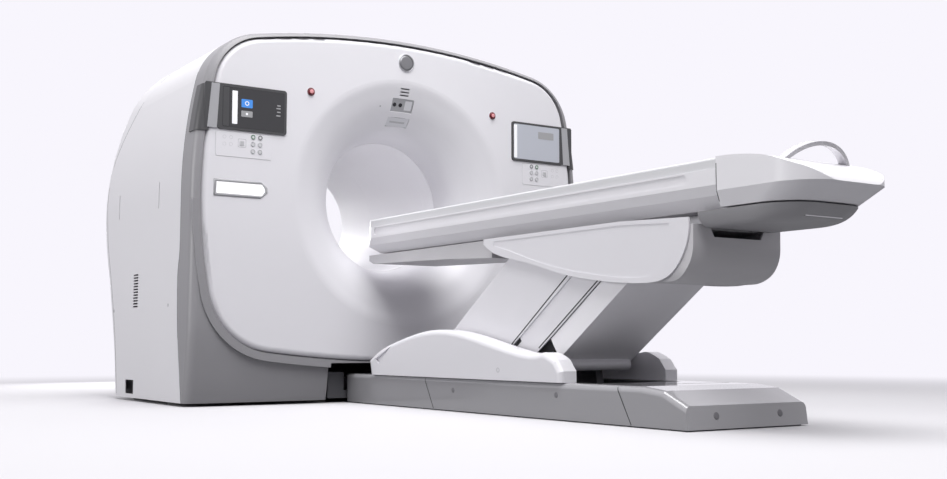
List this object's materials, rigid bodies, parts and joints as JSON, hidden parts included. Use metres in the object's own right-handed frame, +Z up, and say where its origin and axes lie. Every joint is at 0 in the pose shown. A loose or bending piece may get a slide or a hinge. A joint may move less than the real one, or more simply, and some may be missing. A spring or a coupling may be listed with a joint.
{
  "type": "ct scanner",
  "caption": "Ring gantry with a deep round bore and funnel front, and a parallel-lift patient table with a sliding cradle.",
  "frame": {"origin": "on the floor, straight below the bore axis in the scan plane", "axes": "+X to the right facing the bore, +Y along the bore away from the table, +Z up"},
  "size_m": [2.32, 4.3582, 1.903],
  "materials": {
    "white_cover": "satin",
    "grey_cover": "satin",
    "cradle_board": "satin",
    "bore_lining": "gloss",
    "steel_frame": "matte",
    "rail": "satin",
    "detector": "satin",
    "tube_housing": "satin",
    "dark_glass": "gloss",
    "lamp": "gloss",
    "red_button": "satin",
    "key": "satin",
    "handle": "gloss"
  },
  "bodies": {
    "stand": {"front_cover": "white_cover", "front_frame": "grey_cover", "side_cover_left": "white_cover", "side_cover_right": "white_cover", "rear_cover": "white_cover", "scan_window": "bore_lining", "bore_liner": "bore_lining", "rear_liner": "bore_lining", "gantry_frame": "steel_frame", "detector_ring": "detector", "display_housing_left": "grey_cover", "display_housing_right": "grey_cover", "display_screen_left": "dark_glass", "display_screen_right": "dark_glass", "keypad_panel_left": "white_cover", "keypad_panel_right": "white_cover", "status_light_left": "lamp", "status_light_right": "lamp", "sensor_window": "dark_glass", "laser_window": "dark_glass", "base_chassis": "steel_frame", "base_cover_front": "grey_cover", "base_cover_middle": "grey_cover", "base_cover_foot": "grey_cover", "leg_fairing_left": "white_cover", "leg_fairing_right": "white_cover"},
    "rotor": {"rotor_drum": "steel_frame", "xray_tube": "tube_housing", "detector_arc": "detector", "hv_generator": "tube_housing"},
    "leg_front": {"leg_arm_front": "steel_frame", "leg_cover_front": "white_cover"},
    "leg_middle": {"leg_cover_middle": "white_cover"},
    "leg_rear": {"leg_arm_rear": "steel_frame", "leg_cover_rear": "grey_cover"},
    "table_top": {"lift_housing": "white_cover", "housing_fairing_left": "white_cover", "housing_fairing_right": "white_cover", "support_rail": "rail", "under_pod": "grey_cover"},
    "cradle": {"cradle_beam": "white_cover", "cradle_top": "cradle_board", "foot_pod": "white_cover", "handle": "handle"},
    "key_a1_left": {"key_a1_left": "key"},
    "key_a2_left": {"key_a2_left": "key"},
    "key_b1_left": {"key_b1_left": "key"},
    "key_b2_left": {"key_b2_left": "key"},
    "key_c1_left": {"key_c1_left": "key"},
    "key_c2_left": {"key_c2_left": "key"},
    "key_menu_left": {"key_menu_left": "key"},
    "key_a1_right": {"key_a1_right": "key"},
    "key_a2_right": {"key_a2_right": "key"},
    "key_b1_right": {"key_b1_right": "key"},
    "key_b2_right": {"key_b2_right": "key"},
    "key_c1_right": {"key_c1_right": "key"},
    "key_c2_right": {"key_c2_right": "key"},
    "key_menu_right": {"key_menu_right": "key"},
    "estop_button_left": {"estop_button_left": "red_button"},
    "estop_button_right": {"estop_button_right": "red_button"}
  },
  "joints": [
    {"name": "rotor_spin", "type": "hinge", "parent": "stand", "child": "rotor", "pos_m": [0, 0.2, 1.039], "axis": [0, 1, 0], "continuous": true},
    {"name": "table_lift", "type": "hinge", "parent": "stand", "child": "leg_front", "pos_m": [0, -1.062, 0.216], "axis": [-1, 0, 0], "range_deg": [-26, 5]},
    {"name": "leg_middle_follow", "type": "hinge", "parent": "stand", "child": "leg_middle", "pos_m": [0, -1.576, 0.216], "axis": [-1, 0, 0], "range_deg": [-26.5, 5.5]},
    {"name": "leg_rear_follow", "type": "hinge", "parent": "stand", "child": "leg_rear", "pos_m": [0, -1.762, 0.216], "axis": [-1, 0, 0], "range_deg": [-26.5, 5.5]},
    {"name": "table_level", "type": "hinge", "parent": "leg_front", "child": "table_top", "pos_m": [0, -1.642, 0.616], "axis": [-1, 0, 0], "range_deg": [-5.5, 26.5]},
    {"name": "cradle_travel", "type": "slide", "parent": "table_top", "child": "cradle", "axis": [0, 1, 0], "range_m": [-0.12, 1.4]},
    {"name": "key_a1_left_press", "type": "slide", "parent": "stand", "child": "key_a1_left", "axis": [0, 1, 0], "range_m": [0, 0.0015], "stiffness_N_per_m": 300, "springref_m": -0.0008},
    {"name": "key_a2_left_press", "type": "slide", "parent": "stand", "child": "key_a2_left", "axis": [0, 1, 0], "range_m": [0, 0.0015], "stiffness_N_per_m": 300, "springref_m": -0.0008},
    {"name": "key_b1_left_press", "type": "slide", "parent": "stand", "child": "key_b1_left", "axis": [0, 1, 0], "range_m": [0, 0.0015], "stiffness_N_per_m": 300, "springref_m": -0.0008},
    {"name": "key_b2_left_press", "type": "slide", "parent": "stand", "child": "key_b2_left", "axis": [0, 1, 0], "range_m": [0, 0.0015], "stiffness_N_per_m": 300, "springref_m": -0.0008},
    {"name": "key_c1_left_press", "type": "slide", "parent": "stand", "child": "key_c1_left", "axis": [0, 1, 0], "range_m": [0, 0.0015], "stiffness_N_per_m": 300, "springref_m": -0.0008},
    {"name": "key_c2_left_press", "type": "slide", "parent": "stand", "child": "key_c2_left", "axis": [0, 1, 0], "range_m": [0, 0.0015], "stiffness_N_per_m": 300, "springref_m": -0.0008},
    {"name": "key_menu_left_press", "type": "slide", "parent": "stand", "child": "key_menu_left", "axis": [0, 1, 0], "range_m": [0, 0.0015], "stiffness_N_per_m": 300, "springref_m": -0.0008},
    {"name": "key_a1_right_press", "type": "slide", "parent": "stand", "child": "key_a1_right", "axis": [0, 1, 0], "range_m": [0, 0.0015], "stiffness_N_per_m": 300, "springref_m": -0.0008},
    {"name": "key_a2_right_press", "type": "slide", "parent": "stand", "child": "key_a2_right", "axis": [0, 1, 0], "range_m": [0, 0.0015], "stiffness_N_per_m": 300, "springref_m": -0.0008},
    {"name": "key_b1_right_press", "type": "slide", "parent": "stand", "child": "key_b1_right", "axis": [0, 1, 0], "range_m": [0, 0.0015], "stiffness_N_per_m": 300, "springref_m": -0.0008},
    {"name": "key_b2_right_press", "type": "slide", "parent": "stand", "child": "key_b2_right", "axis": [0, 1, 0], "range_m": [0, 0.0015], "stiffness_N_per_m": 300, "springref_m": -0.0008},
    {"name": "key_c1_right_press", "type": "slide", "parent": "stand", "child": "key_c1_right", "axis": [0, 1, 0], "range_m": [0, 0.0015], "stiffness_N_per_m": 300, "springref_m": -0.0008},
    {"name": "key_c2_right_press", "type": "slide", "parent": "stand", "child": "key_c2_right", "axis": [0, 1, 0], "range_m": [0, 0.0015], "stiffness_N_per_m": 300, "springref_m": -0.0008},
    {"name": "key_menu_right_press", "type": "slide", "parent": "stand", "child": "key_menu_right", "axis": [0, 1, 0], "range_m": [0, 0.0015], "stiffness_N_per_m": 300, "springref_m": -0.0008},
    {"name": "estop_button_left_press", "type": "slide", "parent": "stand", "child": "estop_button_left", "axis": [0, 1, 0], "range_m": [0, 0.004]},
    {"name": "estop_button_right_press", "type": "slide", "parent": "stand", "child": "estop_button_right", "axis": [0, 1, 0], "range_m": [0, 0.004]}
  ],
  "couplings": [
    {"joint": "leg_middle_follow", "follows": "table_lift", "ratio": 1},
    {"joint": "leg_rear_follow", "follows": "table_lift", "ratio": 1},
    {"joint": "table_level", "follows": "table_lift", "ratio": -1}
  ]
}
